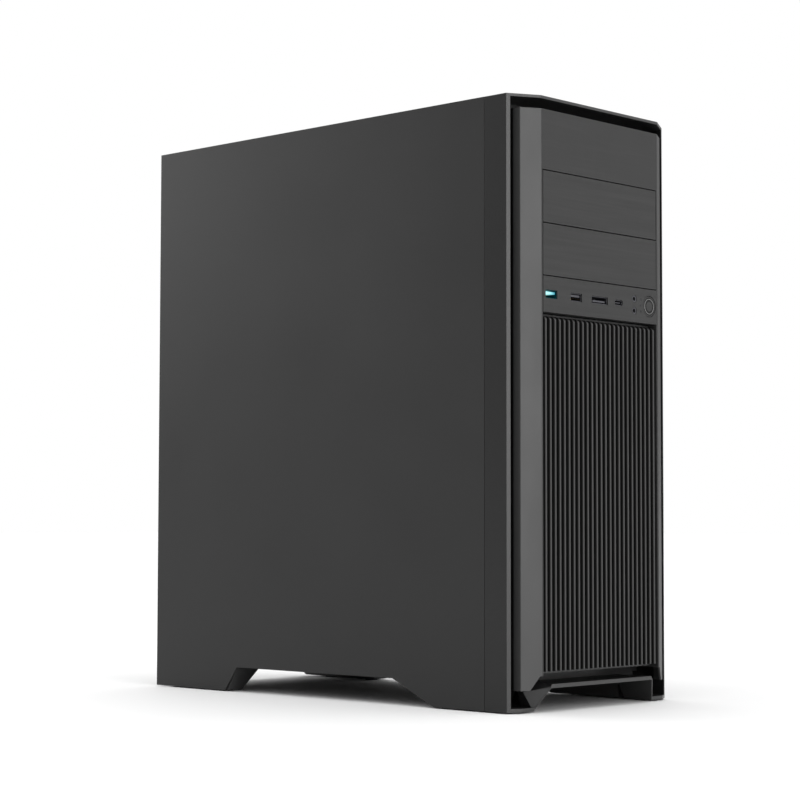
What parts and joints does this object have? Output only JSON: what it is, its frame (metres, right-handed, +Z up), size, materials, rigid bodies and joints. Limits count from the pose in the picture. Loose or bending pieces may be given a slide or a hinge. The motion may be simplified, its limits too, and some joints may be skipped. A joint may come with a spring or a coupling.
{
  "type": "desktop computer tower",
  "caption": "Upright computer case with slide-off side panels, framed slatted front, blank bay covers, port strip with power button, and its inner parts.",
  "frame": {"origin": "on the floor, under the middle of the tower's overall width and depth", "axes": "+Z up, the front bezel faces -Y, the motherboard tray is on the +X side"},
  "size_m": [0.2074, 0.447, 0.4925],
  "materials": {
    "panel_paint": "fine satin powder coat",
    "chassis_steel": "satin black paint",
    "bezel_plastic": "fine spark texture",
    "surround_plastic": "satin",
    "cover_plastic": "fine horizontal brush lines",
    "grille_plastic": "satin",
    "black_plastic": "matte",
    "rotor_plastic": "satin",
    "foot_rubber": "matte",
    "zinc_steel": "bright zinc",
    "connector_shell": "bright nickel",
    "fin_aluminium": "as extruded",
    "board_laminate": "green solder mask",
    "drive_casting": "cast",
    "brass": "turned",
    "light_pipe": "clear",
    "lit_plastic": "lit from behind",
    "wire_sleeve": "braided sleeve"
  },
  "bodies": {
    "chassis": {"chassis_base_pan": "chassis_steel", "chassis_front_panel": "chassis_steel", "chassis_rear_panel": "chassis_steel", "chassis_top_panel": "chassis_steel", "motherboard_tray": "chassis_steel", "chassis_feet": "black_plastic", "foot_pads": "foot_rubber", "bezel_frame": "bezel_plastic", "bezel_surround": "surround_plastic", "front_grille": "grille_plastic", "front_dust_filter": "black_plastic", "io_panel": "cover_plastic", "usb_port_lit": "connector_shell", "usb_light_bar": "lit_plastic", "usb_port_plain": "connector_shell", "card_reader": "connector_shell", "usb_c_port": "connector_shell", "audio_jacks": "black_plastic", "status_light_pipes": "light_pipe", "front_io_board": "board_laminate", "optical_bay_cage": "chassis_steel", "drive_cage": "chassis_steel", "intake_fan_frame_upper": "black_plastic", "intake_fan_frame_lower": "black_plastic", "rear_fan_frame": "black_plastic", "psu_housing": "chassis_steel", "psu_circuit_board": "board_laminate", "psu_fan_frame": "black_plastic", "psu_fan_guard": "zinc_steel", "psu_inlet": "black_plastic", "motherboard": "board_laminate", "board_standoffs": "brass", "processor": "zinc_steel", "cooler_heatsink": "fin_aluminium", "cooler_fan_frame": "black_plastic", "memory_modules": "board_laminate", "io_shield": "zinc_steel", "rear_ports": "connector_shell", "slot_covers": "zinc_steel", "case_screws": "zinc_steel", "power_lead": "wire_sleeve", "panel_lead": "wire_sleeve"},
    "left_panel": {"left_side_panel": "panel_paint"},
    "left_screws": {"thumb_screws_left": "black_plastic"},
    "right_panel": {"right_side_panel": "panel_paint"},
    "right_screws": {"thumb_screws_right": "black_plastic"},
    "upper_bay_cover": {"bay_cover_upper": "cover_plastic"},
    "lower_bay_cover": {"bay_cover_lower": "cover_plastic"},
    "power_button": {"power_button": "cover_plastic"},
    "supply_switch": {"psu_rocker": "black_plastic"},
    "supply_filter": {"psu_dust_filter": "black_plastic"},
    "upper_tray": {"drive_tray_upper": "black_plastic", "solid_state_drive": "black_plastic"},
    "lower_tray": {"drive_tray_lower": "black_plastic", "hard_drive": "drive_casting"},
    "upper_intake_rotor": {"intake_fan_rotor_upper": "rotor_plastic"},
    "lower_intake_rotor": {"intake_fan_rotor_lower": "rotor_plastic"},
    "rear_rotor": {"rear_fan_rotor": "rotor_plastic"},
    "supply_rotor": {"psu_fan_rotor": "rotor_plastic"},
    "cooler_rotor": {"cooler_fan_rotor": "rotor_plastic"}
  },
  "joints": [
    {"name": "left_panel_slide", "type": "slide", "parent": "chassis", "child": "left_panel", "axis": [0, 1, 0], "range_m": [0, 0.02]},
    {"name": "left_screws_loosen", "type": "slide", "parent": "left_panel", "child": "left_screws", "axis": [0, 1, 0], "range_m": [0, 0.006]},
    {"name": "right_panel_slide", "type": "slide", "parent": "chassis", "child": "right_panel", "axis": [0, 1, 0], "range_m": [0, 0.02]},
    {"name": "right_screws_loosen", "type": "slide", "parent": "right_panel", "child": "right_screws", "axis": [0, 1, 0], "range_m": [0, 0.006]},
    {"name": "upper_bay_cover_pull", "type": "slide", "parent": "chassis", "child": "upper_bay_cover", "axis": [0, -1, 0], "range_m": [0, 0.03]},
    {"name": "lower_bay_cover_pull", "type": "slide", "parent": "chassis", "child": "lower_bay_cover", "axis": [0, -1, 0], "range_m": [0, 0.03]},
    {"name": "power_button_press", "type": "slide", "parent": "chassis", "child": "power_button", "axis": [0, 1, 0], "range_m": [0, 0.0018], "stiffness_N_per_m": 600},
    {"name": "supply_switch_rock", "type": "hinge", "parent": "chassis", "child": "supply_switch", "pos_m": [-0.05, 0.2121, 0.092], "axis": [1, 0, 0], "range_deg": [0, 24]},
    {"name": "supply_filter_slide", "type": "slide", "parent": "chassis", "child": "supply_filter", "axis": [0, 1, 0], "range_m": [0, 0.12]},
    {"name": "upper_tray_slide", "type": "slide", "parent": "chassis", "child": "upper_tray", "axis": [0, 1, 0], "range_m": [0, 0.065]},
    {"name": "lower_tray_slide", "type": "slide", "parent": "chassis", "child": "lower_tray", "axis": [0, 1, 0], "range_m": [0, 0.065]},
    {"name": "upper_intake_spin", "type": "hinge", "parent": "chassis", "child": "upper_intake_rotor", "pos_m": [0, -0.17, 0.228], "axis": [0, 1, 0], "continuous": true},
    {"name": "lower_intake_spin", "type": "hinge", "parent": "chassis", "child": "lower_intake_rotor", "pos_m": [0, -0.17, 0.098], "axis": [0, 1, 0], "continuous": true},
    {"name": "rear_fan_spin", "type": "hinge", "parent": "chassis", "child": "rear_rotor", "pos_m": [-0.033, 0.202, 0.4], "axis": [0, 1, 0], "continuous": true},
    {"name": "supply_fan_spin", "type": "hinge", "parent": "chassis", "child": "supply_rotor", "pos_m": [0, 0.1425, 0.04], "axis": [0, 0, 1], "continuous": true},
    {"name": "cooler_fan_spin", "type": "hinge", "parent": "chassis", "child": "cooler_rotor", "pos_m": [0.025, 0.0969, 0.389], "axis": [1, 0, 0], "continuous": true}
  ]
}
